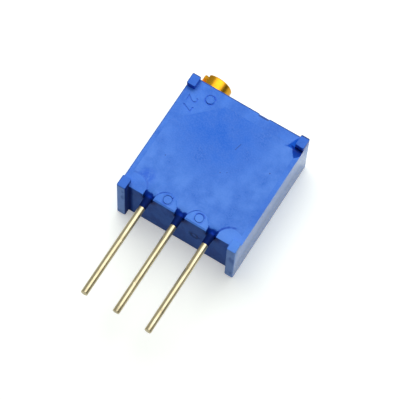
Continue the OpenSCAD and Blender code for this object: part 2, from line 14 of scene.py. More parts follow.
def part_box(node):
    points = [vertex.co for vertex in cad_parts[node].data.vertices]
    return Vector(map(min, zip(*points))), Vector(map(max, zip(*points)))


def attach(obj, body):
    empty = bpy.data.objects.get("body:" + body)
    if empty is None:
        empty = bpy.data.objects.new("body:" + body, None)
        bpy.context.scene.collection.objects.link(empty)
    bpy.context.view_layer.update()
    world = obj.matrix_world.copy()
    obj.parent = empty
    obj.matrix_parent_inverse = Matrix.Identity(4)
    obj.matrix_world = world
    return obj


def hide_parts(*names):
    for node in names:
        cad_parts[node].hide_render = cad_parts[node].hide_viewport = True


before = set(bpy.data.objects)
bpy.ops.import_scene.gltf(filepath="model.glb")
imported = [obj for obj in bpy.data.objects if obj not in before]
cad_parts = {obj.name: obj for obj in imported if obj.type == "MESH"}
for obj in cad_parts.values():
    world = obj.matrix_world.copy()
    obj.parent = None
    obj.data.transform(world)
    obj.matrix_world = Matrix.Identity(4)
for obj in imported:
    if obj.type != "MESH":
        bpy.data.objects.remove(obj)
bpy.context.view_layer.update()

# %% [markdown]
# ## Sizes
# Edit-mode tools work badly on meshes a few thousandths of a unit across. The sizes could be kept
# in metres and the tools' limits fought, but it is simpler to model at a thousand times the real
# size, so that one unit is one millimetre, and to shrink each piece when it is done.
# The frame's boxes give the places; the few sizes that no box shows are named here.

# %% Sizes in millimetres
MM = 0.001
case_low, case_high = [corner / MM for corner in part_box("housing")]
seal_low, seal_high = [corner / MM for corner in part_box("rear_seal")]
screw_low, screw_high = [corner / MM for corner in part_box("adjustment_screw")]
half_w = case_high.x
front_z = case_low.z                       # the face that it lies on
seal_z = seal_high.z                       # level of the epoxy
seal_dip = 0.02
back_z = seal_z + seal_dip                 # top of the case's walls
terminal_face_y = 0.5                      # the wall between the two feet
screw_side_y = case_high.y
screw_axis = (screw_low + screw_high) / 2
head_r = (screw_high.x - screw_low.x) / 2
wire_pitch = 2.54
wire_x = {1: -wire_pitch, 2: 0.0, 3: wire_pitch}
pad_y = 0.75                               # the four pads that the epoxy flows round
pad_x, pad_r = wire_pitch / 2, 0.82
corner_pad_x, corner_pad_r = 3.9, 1.02
mark_places = [(-pad_x, 1.07), (pad_x, 1.07), (-2.745, 9.05)]
disc_r, groove_r = 0.33, 0.38              # an ejector mark's disc, and the groove round it
face_mark, face_mark_r = (pad_x, terminal_face_y, front_z + 2.36), 0.425
print("case width", 2 * half_w, "screw head radius", head_r)

# %% [markdown]
# ## The camera
# A product picture of something so small is taken from well away with a long lens, which keeps its
# sides nearly parallel. The camera could be aimed with a constraint, but a few angles say it too:
# how far it has gone round the part, how high it stands and how much it leans.

# %% Camera
azimuth, elevation, lean = 28.115, 68.061, 3.852
camera_place = Vector((28.62, -50.18, 148.03)) * MM
bpy.ops.object.camera_add(location=camera_place)
camera = bpy.context.object
camera.name = "camera"
turn = (Matrix.Rotation(math.radians(azimuth), 4, "Z")
        @ Matrix.Rotation(math.radians(90 - elevation), 4, "X")
        @ Matrix.Rotation(math.radians(lean), 4, "Z"))
camera.rotation_euler = turn.to_euler()
camera.data.sensor_width = 36
camera.data.lens = 208.65
camera.data.clip_start = 0.005
bpy.context.scene.camera = camera
print("camera distance", round(camera.location.length, 4), "m")

# %% [markdown]
# ## Tools for modelling
# Every step below is one that a hand could do in Blender: add a primitive, select something by its
# place, and extrude, inset or bevel it. Three small helpers keep those steps short. One makes a
# piece the only selected object, one wraps edit mode, and one selects by a test.

# %% Selecting and editing
def only(piece):
    """Makes the piece the one selected and active object."""
    bpy.ops.object.select_all(action="DESELECT")
    piece.select_set(True)
    bpy.context.view_layer.objects.active = piece


class editing:
    """Edit mode on one piece, entered with nothing selected."""

    def __init__(self, piece):
        self.piece = piece

    def __enter__(self):
        only(self.piece)
        bpy.ops.object.mode_set(mode="EDIT")
        bpy.ops.mesh.select_all(action="DESELECT")

    def __exit__(self, *problem):
        bpy.ops.object.mode_set(mode="OBJECT")


def pick_faces(piece, test):
    """Selects the faces that pass a test of their centre and normal. Returns how many did."""
    bpy.ops.mesh.select_mode(type="FACE")
    bpy.ops.mesh.select_all(action="DESELECT")
    bpy.ops.object.mode_set(mode="OBJECT")
    for face in piece.data.polygons:
        face.select = bool(test(face.center, face.normal))
    found = sum(face.select for face in piece.data.polygons)
    bpy.ops.object.mode_set(mode="EDIT")
    return found


# %% [markdown]
# An edge can be told by where it is and by how far the surface turns there. Blender knows the
# angle but not at once whether the corner sticks out or goes in. The sign comes from the two
# faces: on an outer corner, each face's normal leans away from the other face.

# %% Selecting edges by their place and turn
def edge_turns(mesh):
    """For each edge, how many degrees the surface turns: above 0 on an outer corner."""
    sides = {}
    for face in mesh.polygons:
        ring = list(face.vertices)
        for here, there in zip(ring, ring[1:] + ring[:1]):
            along = mesh.vertices[there].co - mesh.vertices[here].co
            inward = face.normal.cross(along)
            sides.setdefault((min(here, there), max(here, there)), []).append((face, inward))
    turns = {}
    for key, both in sides.items():
        if len(both) == 2:
            (one, inward), (other, _) = both
            angle = math.degrees(one.normal.angle(other.normal, 0))
            turns[key] = angle if inward.dot(other.normal) < 0 else -angle
    return turns


def pick_edges(piece, test):
    """Selects the edges that pass a test of their middle and turn. Returns how many did."""
    bpy.ops.mesh.select_mode(type="EDGE")
    bpy.ops.mesh.select_all(action="DESELECT")
    bpy.ops.object.mode_set(mode="OBJECT")
    mesh = piece.data
    turns = edge_turns(mesh)
    found = 0
    for edge in mesh.edges:
        a, b = (mesh.vertices[i].co for i in edge.vertices)
        edge.select = bool(test((a + b) / 2, turns.get(tuple(sorted(edge.vertices)), 0)))
        found += edge.select
    bpy.ops.object.mode_set(mode="EDIT")
    return found


# %% [markdown]
# A finished piece has to sit at the origin with its place in its mesh, so that patterns on object
# coordinates stay where they are. `settle` shrinks it to real size, smooths what is round, and
# puts it on the body that carries it.

# %% Starting from a solid and settling a piece
merge_gap = 0.0004                         # corners closer than this are one


def copy_of(node, name):
    """A solid of the frame as a new piece in millimetres, its loose triangles merged."""
    piece = bpy.data.objects.new(name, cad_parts[node].data.copy())
    bpy.context.scene.collection.objects.link(piece)
    piece.data.materials.clear()
    piece.data.transform(Matrix.Scale(1 / MM, 4))
    with editing(piece):
        bpy.ops.mesh.select_all(action="SELECT")
        bpy.ops.mesh.remove_doubles(threshold=merge_gap)
        bpy.ops.mesh.dissolve_limited(angle_limit=math.radians(0.6))
        bpy.ops.mesh.customdata_custom_splitnormals_clear()
    return piece


def settle(piece, body, slot, *nodes, sharp=35):
    """Brings a piece from millimetres to metres and puts it on its body, in place of nodes."""
    only(piece)
    piece.scale = (MM, MM, MM)
    bpy.ops.object.transform_apply(location=True, rotation=True, scale=True)
    bpy.ops.object.shade_smooth_by_angle(angle=math.radians(sharp))
    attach(piece, body)
    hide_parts(*nodes)
    print(piece.name, "has", len(piece.data.polygons), "faces and rides on", body)


def cut_away(piece, cutter):
    """Takes the cutter's shape out of a piece with a Boolean, and removes the cutter."""
    only(piece)
    bpy.ops.object.modifier_add(type="BOOLEAN")
    boolean = piece.modifiers[0]
    boolean.object = cutter
    boolean.solver = "EXACT"
    bpy.ops.object.modifier_apply(modifier=boolean.name)
    bpy.data.objects.remove(cutter)


# %% [markdown]
# ## The case
# The case is one moulding: walls, feet, corner bosses, and round marks where pins pushed it out of
# its mould. It could be rebuilt from a cube, but every corner of it is in the frame already. So
# its solid is copied, and only what a solid leaves out is added: mould corners are never sharp,
# and it is their small radius that catches the light. The bore and the pocket inside don't show,
# and the fine grooves round the ejector marks are narrower than the radius, so both are left out.

# %% Rounding the outer corners of the case
def by_a_mark(place):
    """Is this place in the groove of an ejector mark, or of the mark in the terminal face?"""
    in_back = any(math.dist(place.xy, mark) < groove_r + 0.07 for mark in mark_places)
    in_face = math.dist(place, face_mark) < face_mark_r + 0.07
    return (in_back and place.z > seal_z - 0.1) or in_face


def outside_corner(place, turn):
    """Is this a sharp outer corner of the case that can be seen and touched?"""
    on_a_side = (abs(place.x) > half_w - 0.15 or place.z < front_z + 0.01
                 or place.y > screw_side_y - 0.01 or place.z > back_z + 0.02)
    return turn > 40 and (on_a_side or place.y < terminal_face_y + 0.01) and not by_a_mark(place)


corner_r = 0.05
case = copy_of("housing", "moulded_case")
with editing(case):
    print("outer corners:", pick_edges(case, outside_corner))
    bpy.ops.mesh.bevel(offset=corner_r, segments=3, affect="EDGES")

# %% [markdown]
# An ejector pin never stops exactly level with the mould wall, so the disc inside each groove is
# a little proud. A new disc could be laid on, but the old one is already there, as flat faces of
# the copy. They are pulled up, and drawn in a little so that their rim slopes.

# %% Discs of the ejector pins
disc_rise, rim_slope = 0.06, 0.88
for mark in mark_places:
    with editing(case):
        found = pick_faces(case, lambda place, normal: math.dist(place.xy, mark) < disc_r
                           and normal.z > 0.99 and abs(place.z - back_z) < 0.005)
        bpy.ops.mesh.extrude_region_move(TRANSFORM_OT_translate={"value": (0, 0, disc_rise)})
        bpy.ops.transform.resize(value=(rim_slope, rim_slope, 1), center_override=(*mark, back_z))
    print("faces in the disc at", mark, "are", found)

# %% [markdown]
# ## The mould number
# Parts from a mould with many cavities carry the number of their cavity, here sunk a hair's
# breadth into the corner by the screw. It could be drawn in the colour, but then it would have
# no depth. So two plain digits are made as text, turned into a mesh, and cut out of the case.

# %% Two sunk digits
digits_place = (-4.22, 8.72, back_z)
bpy.ops.object.text_add()
digits = bpy.context.object
digits.data.body = "27"
digits.data.size = 1.15
digits.data.extrude = 0.06
digits.data.space_character = 1.25
bpy.ops.object.convert(target="MESH")
digits = bpy.context.object
digits.data.transform(Matrix.Translation(digits_place)
                      @ Matrix.Rotation(math.radians(-90), 4, "Z"))
with editing(digits):
    bpy.ops.mesh.select_all(action="SELECT")
    bpy.ops.mesh.remove_doubles(threshold=merge_gap)
    bpy.ops.mesh.normals_make_consistent(inside=False)
cut_away(case, digits)
settle(case, "case", "case", "housing")

# %% [markdown]
# ## The seal
# Liquid epoxy is poured into the open back, round the wires, and sets there. It could be a flat
# sheet at the right level, but a liquid climbs the walls that it wets and sinks a little in the
# middle as it cures. An inset of the outline would cross itself in the narrow bays beside the
# wires. So the top is cut into a fine grid, and its middle is pulled down with a soft falloff.

# %% The pool, a little lower in the middle
def pool_top(place, normal):
    """Is this a face of the level top of the pool?"""
    return normal.z > 0.99 and place.z > seal_z - 0.06


def pool_middle(place, normal):
    """Is this a face of the pool's top well away from the walls and from the solid corner?"""
    return (pool_top(place, normal) and abs(place.x) < 3.4 and 2.8 < place.y < 8.1
            and place.y - place.x < 9.2)


seal = copy_of("rear_seal", "cast_seal")
grid_step, sink, falloff = 0.45, 0.03, 0.9
climb = 0.75 * seal_dip                    # how far it stands up on the walls
first_line_y = 0.9                         # no line of the grid is needed beside the wires
with editing(seal):
    print("faces of the pool's top:", pick_faces(seal, pool_top))
    bpy.ops.transform.translate(value=(0, 0, climb))
    for low, high, normal in ((seal_low.x, seal_high.x, (1, 0, 0)),
                              (first_line_y, seal_high.y, (0, 1, 0))):
        for line in range(1, int((high - low) / grid_step)):
            pick_faces(seal, pool_top)
            bpy.ops.mesh.bisect(plane_co=[low + line * grid_step] * 3, plane_no=normal)
    pick_faces(seal, pool_middle)
    bpy.ops.transform.translate(
        value=(0, 0, -sink), use_proportional_edit=True, use_proportional_connected=True,
        proportional_edit_falloff="SMOOTH", proportional_size=falloff)
settle(seal, "case", "seal", "rear_seal", sharp=50)

# %% [markdown]
# ## The screw
# The screw is turned from brass rod, and its slot is milled afterwards. The head could be kept
# from the solid, whose round is made of few flats, but it is the brightest piece of all. So the
# solid's shaft is kept up to the head, and a head with a finer round takes the place of the rest.

# %% The shaft of the solid, without its head
head_start, head_end = screw_side_y + 0.03, screw_high.y
meet_y = screw_side_y - 0.3                # where the shaft ends and the new journal starts
shaft = copy_of("adjustment_screw", "turned_screw")
with editing(shaft):
    bpy.ops.mesh.select_all(action="SELECT")
    bpy.ops.mesh.bisect(plane_co=(0, meet_y, 0), plane_no=(0, 1, 0),
                        clear_outer=True, use_fill=True)
print("the shaft ends at", round(max(v.co.y for v in shaft.data.vertices), 2))

# %% [markdown]
# The new head starts as a cylinder that lies along Y, with a short journal under it. The journal
# is the lower end cap, inset and pushed down into the bore. Then both rims are chamfered, the
# outer one more, as the turner leaves them.

# %% The head
bpy.ops.mesh.primitive_cylinder_add(
    vertices=96, radius=head_r, depth=head_end - head_start,
    location=(screw_axis.x, (head_start + head_end) / 2, screw_axis.z),
    rotation=(math.radians(-90), 0, 0))
head = bpy.context.object
bpy.ops.object.transform_apply(location=True, rotation=True, scale=True)


def rim_at(height):
    """A test for the edges of the rim at a height along the screw."""
    return lambda place, turn: abs(place.y - height) < 0.001 and turn > 40


journal_r = 0.8
with editing(head):
    pick_faces(head, lambda place, normal: normal.y < -0.99)
    bpy.ops.mesh.inset(thickness=head_r - journal_r)
    bpy.ops.mesh.extrude_region_move(
        TRANSFORM_OT_translate={"value": (0, meet_y - head_start, 0)})
    pick_edges(head, rim_at(head_end))
    bpy.ops.mesh.bevel(offset=0.08, segments=1, affect="EDGES")
    pick_edges(head, rim_at(head_start))
    bpy.ops.mesh.bevel(offset=0.03, segments=2, affect="EDGES")
print("head faces:", len(head.data.polygons))

# %% [markdown]
# The slot is cut as the mill cuts it: a long block stands across the head at the slot's angle, and
# a Boolean modifier takes it away. The edges that the mill leaves are broken a little.

# %% The driver slot
slot_angle, slot_w, slot_depth = 140, 0.56, 0.76
bpy.ops.mesh.primitive_cube_add(
    size=1, location=(screw_axis.x, head_end, screw_axis.z),
    rotation=(0, math.radians(-slot_angle), 0))
cutter = bpy.context.object
cutter.scale = (4 * head_r, 2 * slot_depth, slot_w)
bpy.ops.object.transform_apply(location=True, rotation=True, scale=True)
cut_away(head, cutter)

across = Vector((math.sin(math.radians(slot_angle)), 0, -math.cos(math.radians(slot_angle))))


def slot_edge(place, turn):
    """Is this an outer edge along the slot?"""
    from_middle = abs((place - screw_axis).dot(across))
    return turn > 40 and abs(from_middle - slot_w / 2) < 0.01 and place.y > head_end - slot_depth


with editing(head):
    bpy.ops.mesh.select_all(action="SELECT")
    bpy.ops.mesh.remove_doubles(threshold=merge_gap)
    print("slot edges:", pick_edges(head, slot_edge))
    bpy.ops.mesh.bevel(offset=0.025, segments=2, affect="EDGES")

# %% [markdown]
# The shaft and the head are one piece of metal, so the two meshes are joined into one object.

# %% One screw
only(shaft)
head.select_set(True)
bpy.ops.object.join()
settle(shaft, "screw", "screw", "adjustment_screw", sharp=30)

# %% [markdown]
# ## The terminals
# Each terminal is a length of tinned wire whose inner end is pressed flat. A curve with a round
# section would do for the wire, but not for its flat end, so a cylinder is used: its upper cap is
# pulled up, pressed flat and drawn out into the blade, and its lower end is sheared a bit askew.

# %% One terminal
wire_r = 0.255
press_l, blade_half_w, blade_half_t = 0.25, 0.34, 0.14        # the round wire runs into a blade
end_bevel = 0.03
wire_low, wire_high = [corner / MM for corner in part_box("terminal_2")]
bpy.ops.mesh.primitive_cylinder_add(
    vertices=48, radius=wire_r, depth=terminal_face_y - wire_low.y,
    location=(0, (terminal_face_y + wire_low.y) / 2, 0), rotation=(math.radians(-90), 0, 0))
wire = bpy.context.object
bpy.ops.object.transform_apply(location=True, rotation=True, scale=True)
with editing(wire):
    pick_faces(wire, lambda place, normal: normal.y > 0.99)
    bpy.ops.mesh.extrude_region_move(TRANSFORM_OT_translate={"value": (0, press_l, 0)})
    bpy.ops.transform.resize(value=(blade_half_w / wire_r, 1, blade_half_t / wire_r),
                             center_override=(0, terminal_face_y + press_l, 0))
    blade_l = wire_high.y - terminal_face_y - press_l
    bpy.ops.mesh.extrude_region_move(TRANSFORM_OT_translate={"value": (0, blade_l, 0)})
    pick_edges(wire, lambda place, turn: turn > 40 and place.y < wire_low.y + 0.01)
    bpy.ops.mesh.bevel(offset=end_bevel, segments=2, affect="EDGES")
print("one terminal has", len(wire.data.polygons), "faces")

# %% [markdown]
# The three terminals are copies of it. Linked copies would save a little memory, but each real
# wire is cut and nicked in its own way, so each copy gets its own mesh.

# %% The three terminals
wires = {}
for number, x in wire_x.items():
    only(wire)
    bpy.ops.object.duplicate()
    wires[number] = bpy.context.object
    wires[number].name = "tinned_terminal_%d" % number
    wires[number].location.x = x
    bpy.ops.object.transform_apply(location=True, rotation=True, scale=True)
bpy.data.objects.remove(wire)
print("wires:", [piece.name for piece in wires.values()])

# %% [markdown]
# Pliers have nicked the wires here and there. A nick is a short flat, made with four cuts round
# the wire: the faces between the inner two are pressed in on one side, and those out to the other
# two slope down to them.

# %% Nicks in the wires
def nick(piece, x, y, towards, depth):
    """Presses a small flat into the wire at x, on the side that the angle `towards` points to."""
    flat, run_out = 0.04, 0.1
    with editing(piece):
        for cut in (y - run_out, y - flat, y + flat, y + run_out):
            bpy.ops.mesh.select_all(action="SELECT")
            bpy.ops.mesh.bisect(plane_co=(0, cut, 0), plane_no=(0, 1, 0))
    side = Vector((math.cos(math.radians(towards)), 0, math.sin(math.radians(towards))))
    axis = Vector((x, y, 0))
    with editing(piece):
        pressed = pick_faces(piece, lambda place, normal: abs(place.y - y) < flat
                             and (place - axis).dot(side) > wire_r - 3 * depth)
        bpy.ops.transform.translate(value=-depth * side)
    print(piece.name, "has a nick of", pressed, "faces at", y)


for number, y, towards, depth in ((1, -3.1, 100, 0.02), (2, -5.2, 60, 0.02), (2, -1.3, 110, 0.015),
                                  (3, -2.4, 120, 0.03), (3, -6.0, 75, 0.02)):
    nick(wires[number], wire_x[number], y, towards, depth)

# %% [markdown]
# A cutter's blades never meet quite square, so each end is turned a few degrees. A turned end
# reaches further on one side, so it is also drawn back a little, within the solid's length.

# %% Their sheared ends
draw_back = 0.025
for number, askew in ((1, 5), (2, -4), (3, 3)):
    with editing(wires[number]):
        pick_faces(wires[number], lambda place, normal: place.y < wire_low.y + end_bevel + 0.005)
        bpy.ops.transform.rotate(value=math.radians(askew), orient_axis="X",
                                 center_override=(wire_x[number], wire_low.y, 0))
        bpy.ops.transform.translate(value=(0, draw_back, 0))
    settle(wires[number], "case", "terminal", "terminal_%d" % number, sharp=45)

# %% [markdown]
# ## Tools for finishes
# A finish is a shader whose colour, roughness and bump vary over the surface, as the real one's
# do. Its nodes could be joined by hand, but most of them are sums and products of numbers. So a
# socket is wrapped in a small class that knows +, - and *, and one method makes every other node.

# %% Numbers that vary over a surface
class Value:
    """A number, colour or vector that varies over a surface: one output of a node."""

    def __init__(self, nodes, socket):
        self.nodes, self.socket = nodes, socket

    def maths(self, operation, first, second):
        """The outcome of a Math node on two numbers."""
        return self.nodes.add("ShaderNodeMath", {"operation": operation}, {0: first, 1: second})

    def __add__(self, other):
        return self.maths("ADD", self, other)

    def __sub__(self, other):
        return self.maths("SUBTRACT", self, other)

    def __rsub__(self, other):
        return self.maths("SUBTRACT", other, self)

    def __mul__(self, other):
        return self.maths("MULTIPLY", self, other)

    def outputs(self, *names):
        """Other outputs of the same node."""
        return [Value(self.nodes, self.socket.node.outputs[name]) for name in names]

    __radd__, __rmul__ = __add__, __mul__


# %% [markdown]
# Nodes live in a tree, and the room has one as well as each material. A function for each kind of
# node would be many, so one method adds any node, and a few more are named after what they do:
# a colour mixed into another, a soft step, a band between two steps, and three kinds of rays.

# %% Nodes
class Nodes:
    """The nodes of one material or of the world, with short ways to add to them."""

    def __init__(self, tree, shader):
        self.tree, self.shader = tree, tree.nodes[shader]

    def add(self, kind, settings={}, inputs={}, output=0):
        """Adds a node: its type, its settings, then the values or links of its sockets."""
        node = self.tree.nodes.new(kind)
        for name, value in settings.items():
            setattr(node, name, value)
        for socket, value in inputs.items():
            if isinstance(value, Value):
                self.tree.links.new(value.socket, node.inputs[socket])
            else:
                node.inputs[socket].default_value = value
        return Value(self, node.outputs[output])

    def feed(self, socket, value):
        """Links a value to the shader."""
        self.tree.links.new(value.socket, self.shader.inputs[socket])

    def mix(self, share, base, other):
        """Base colour where the share is 0, the other where it is 1."""
        return self.add("ShaderNodeMix", {"data_type": "RGBA"}, {0: share, 6: base, 7: other}, 2)

    def step(self, value, low, high):
        """0 below low, 1 above high, and smooth between."""
        return self.add("ShaderNodeMapRange", {"interpolation_type": "SMOOTHSTEP"},
                        {0: value, 1: low, 2: high})

    def band(self, value, low, high, soft):
        """1 from low to high, and 0 past them, with edges this soft."""
        rise = self.step(value, low - soft, low + soft)
        return rise * (1 - self.step(value, high - soft, high + soft))

    def rays(self):
        """Three masks: 1 on what is seen directly or through something clear, 1 on what gloss
        mirrors, and 1 on what only lights other things."""
        camera, glossy, through = self.add("ShaderNodeLightPath").outputs(
            "Is Camera Ray", "Is Glossy Ray", "Is Transmission Ray")
        seen = camera + through * (1 - camera)
        mirrored = glossy * (1 - seen)
        return seen, mirrored, 1 - seen - mirrored


# %% [markdown]
# A colour is easiest to think of as a screen shows it, but a shader works with linear light. The
# colour picker turns one into the other by itself, and a script has to do it too.

# %% Colours
def tint(red, green, blue):
    """A colour given as on a screen, from 0 to 255, as the linear one that a shader takes."""
    linear = [(c / 255 / 12.92) if c < 11 else ((c / 255 + 0.055) / 1.055) ** 2.4
              for c in (red, green, blue)]
    return (*linear, 1)


# %% [markdown]
# A material is started with the numbers that are the same all over it. Those stand on the
# shader's own sockets, and only what varies is linked. Patterns are measured in millimetres.

# %% A finish
class Finish(Nodes):
    """One material, whose patterns are measured in millimetres on the object."""

    def __init__(self, name, **fixed):
        self.material = bpy.data.materials.new(name)
        self.material.use_nodes = True
        super().__init__(self.material.node_tree, "Principled BSDF")
        for socket, value in fixed.items():
            self.shader.inputs[socket.replace("_", " ")].default_value = value
        metres = self.add("ShaderNodeTexCoord", output=3)
        self.place = self.add("ShaderNodeVectorMath", {"operation": "SCALE"},
                              {0: metres, "Scale": 1 / MM})
        self.x, self.y, self.z = self.parts(self.place)

    def parts(self, vector):
        """The three numbers of a vector."""
        return self.add("ShaderNodeSeparateXYZ", inputs={0: vector}).outputs(0, 1, 2)

    def absolute(self, value):
        """The value without its sign."""
        return self.add("ShaderNodeMath", {"operation": "ABSOLUTE"}, {0: value})

    def noise(self, size, detail=2, stretch=(1, 1, 1)):
        """Cloudy noise, from 0 to 1, with lumps of about this size in millimetres."""
        place = self.add("ShaderNodeVectorMath", {"operation": "MULTIPLY"},
                         {0: self.place, 1: stretch})
        return self.add("ShaderNodeTexNoise", inputs={"Vector": place, "Scale": 1 / size,
                                                      "Detail": detail})

    def distance(self, centre):
        """How far it is to a place, in millimetres."""
        return self.add("ShaderNodeVectorMath", {"operation": "DISTANCE"},
                        {0: self.place, 1: centre}, 1)

    def near(self, centre, inner, outer):
        """1 within the inner distance of a place, 0 beyond the outer one."""
        return 1 - self.step(self.distance(centre), inner, outer)

    def right_of(self, x, y, lean):
        """How far it is to the right of a line through x, y. For each millimetre of y, the line
        leans this much to the right."""
        return self.x - x + lean * (y - self.y)

    def over(self, colour, *layers):
        """The colour under layers of others: each layer is its share and its colour."""
        for share, other in layers:
            colour = self.mix(share, colour, tint(*other))
        return colour

    def bump(self, height, depth):
        """Gives the surface a relief: a height from 0 to 1, and its depth in millimetres."""
        self.feed("Normal", self.add("ShaderNodeBump", inputs={"Distance": depth * MM,
                                                               "Height": height}))

    def dress(self, *pieces):
        """Gives pieces or solids this finish all over."""
        for piece in pieces:
            piece.data.materials.clear()
            piece.data.materials.append(self.material)
        print(self.material.name, "has", len(self.tree.nodes), "nodes and is on",
              ", ".join(piece.name for piece in pieces))


# %% [markdown]
# ## The case's plastic
# The case is moulded in glass-filled nylon, and its finish changes from place to place: the side
# walls slid out along polished steel and are glossy, and are painted a paler blue for the light
# they catch, the tops are satin, and the two end faces dull. Each could be a material of its own,
# but then they would end in hard lines. So one material holds them all, and the part's own normal
# and place say which is which.

# %% Places on the case
plastic = Finish("blue_moulded_plastic", IOR=1.36)
facing = plastic.parts(plastic.add("ShaderNodeTexCoord", output=1))
sideways, lengthways, upward = [plastic.absolute(part) for part in facing]
side_wall = plastic.step(sideways, 0.5, 0.9)
end_face = plastic.step(lengthways, 0.5, 0.9)
flat_top = plastic.step(upward, 0.5, 0.9)
from_middle = plastic.absolute(plastic.x)
above_back = plastic.step(plastic.z, back_z + 0.03, back_z + 0.1)
boss_top = plastic.step(plastic.z, back_z + 0.3, back_z + 0.5)
low_end = 1 - plastic.step(plastic.y, 0.8, 3.0)
# The end faces of the feet, which are painted lighter as if lit.
foot_end_painted_light = end_face * (1 - plastic.step(plastic.y, 0.05, 0.1))

notch_low, notch_high, notch_depth = 0.71, 1.53, 0.13         # in the edge by the screw side
in_notch = plastic.band(plastic.x, notch_low, notch_high, 0.02)
from_far_side = screw_side_y - notch_depth * in_notch - plastic.y
round_the_back = plastic.step(plastic.z, seal_z - 0.1, seal_z)
# Painted shade: dark lines along the far and left edges of the back, and along the far edge of the
# far right boss, over rounded edges that the lamp behind would light.
far_edge = (1 - plastic.step(from_far_side, 0.05, 0.11)) * round_the_back
left_edge = (1 - plastic.step(plastic.x + half_w, 0.03, 0.08)) * round_the_back
by_far_corner = boss_top * plastic.step(plastic.x, 2, 3)
corner_line = by_far_corner * (1 - plastic.step(from_far_side, 0.07, 0.15))
print("the places on the case took", len(plastic.tree.nodes), "nodes")

# %% [markdown]
# The skin shows faint clouds where the melt met the mould, a fine grain, and here and there a
# glass fibre. A picture of the stuff would do, but it would stretch round the corners. So one
# noise of each size makes them. The colours are then laid over each other like thin coats: first
# what is paler, which is painted light and the fibres, then what is darker, which is mostly painted
# shade.

# %% The plastic's blue
clouds = plastic.step(plastic.noise(1.2, 4), 0.3, 0.7)
grain = plastic.noise(0.09, 3)
fibres = plastic.step(plastic.noise(0.16, 1), 0.7, 0.76)
# Painted sheen: the tops towards the terminals are painted paler, most of all on the right, in
# place of the room's reflection.
painted_sheen = (0.1 + 0.55 * plastic.step(plastic.x, -3.5, 2.5)) * low_end * flat_top
# Painted shade: the far boss tops and the near left one are painted darker, in place of their
# weaker sheen.
painted_boss_shade = boss_top * (0.5 + low_end * (0.1 - 0.6 * plastic.step(plastic.x, -1, 1)))
# Painted shade, with some epoxy film: the sides of the far bosses are painted a dark blue.
boss_side = above_back * (1 - flat_top) * (1 - low_end)
# Painted shade: the inner sides of the near bosses, which face the body, are painted darker.
inner_side = side_wall * (1 - plastic.step(from_middle, half_w - 0.2, half_w - 0.1))
blue = plastic.over(
    plastic.mix(clouds, tint(46, 105, 206), tint(70, 126, 224)),
    (painted_sheen, (94, 150, 244)),
    # Painted light: the side walls are painted a paler blue for the light they catch.
    (side_wall * 0.9, (84, 160, 255)),
    # Painted light: the foot ends are painted much paler, with the clouds.
    (foot_end_painted_light * (0.75 + 0.25 * clouds), (156, 196, 255)),
    (fibres * 0.12 + plastic.step(grain, 0.45, 0.6) * 0.1, (120, 166, 240)),
    (painted_boss_shade, (54, 104, 204)),
    (boss_side * 0.85, (0, 60, 190)),
    (above_back * inner_side * low_end * 0.85, (8, 58, 160)),
    (corner_line * 0.85, (30, 48, 96)),
    (far_edge * 0.75, (24, 52, 118)),
    (left_edge * 0.55, (24, 60, 118)))
print("with its blue it has", len(plastic.tree.nodes), "nodes")

# %% [markdown]
# Painted shade and grime are told by height: on the back face, whatever lies a little below the
# skin is the bottom of a groove or of a digit, and is painted darker. Round each ejector disc the
# groove is painted darker still on the two sides along y, as crescents of shade. The terminal face
# has a few dark specks and patches of painted shade, and its round mark is full of grime.

# %% Painted shade in the grooves, and specks on the terminal face
below_skin = plastic.band(back_z - plastic.z, 0.02, 0.08, 0.01)
inside_x = plastic.step(half_w - 0.15 - from_middle, 0, 0.05)
inside_y = (plastic.step(plastic.y, terminal_face_y + 0.12, terminal_face_y + 0.16)
            * (1 - plastic.step(plastic.y, screw_side_y - 0.18, screw_side_y - 0.13)))
patchy = plastic.step(plastic.noise(0.45, 1), 0.35, 0.6)
grime_and_painted_shade = 0.2 * below_skin * inside_x * inside_y * (0.3 + 0.7 * patchy)
for x, y in mark_places:
    from_mark = plastic.distance((x, y, back_z))
    # Painted shade: a ring in each groove, darkest as crescents on the two sides along y.
    ring = plastic.band(from_mark, disc_r + 0.01, groove_r + 0.05, 0.09) * flat_top
    to_side = plastic.step(plastic.absolute(plastic.y - y), 0.0, 0.34)
    grime_and_painted_shade = grime_and_painted_shade + ring * (0.15 + 0.6 * to_side * patchy)
patchy_face_shade = plastic.step(plastic.noise(0.9, 3, stretch=(1, 1, 0.5)), 0.54, 0.66)
in_face_mark = plastic.band(plastic.distance(face_mark), 0.14, 0.46, 0.1) * end_face
dirty_mark = in_face_mark * (0.5 + 0.4 * patchy)
for x, z, size in ((-1.75, 0.55, 0.07), (-3.05, -0.45, 0.09), (-3.25, -0.15, 0.06),
                   (0.45, -0.9, 0.05), (3.3, -1.2, 0.05)):
    grime_and_painted_shade = grime_and_painted_shade + 0.8 * plastic.near((x, terminal_face_y, z), 0.4 * size, size)
print("with its grime it has", len(plastic.tree.nodes), "nodes")

# %% [markdown]
# Beside the boss by the far corner the surface is darker: a patch to the left of the boss, and a
# painted shadow of the boss right under it. They could be a piece of their own, but they are only
# colour. They lie on the case and on the seal, so they are made of functions that serve both
# finishes. Their edges are lines that noise makes ragged.

# %% A dark patch and a painted shadow beside a boss
boss_low_y = 9.0                           # the boss rises out of the epoxy from about here


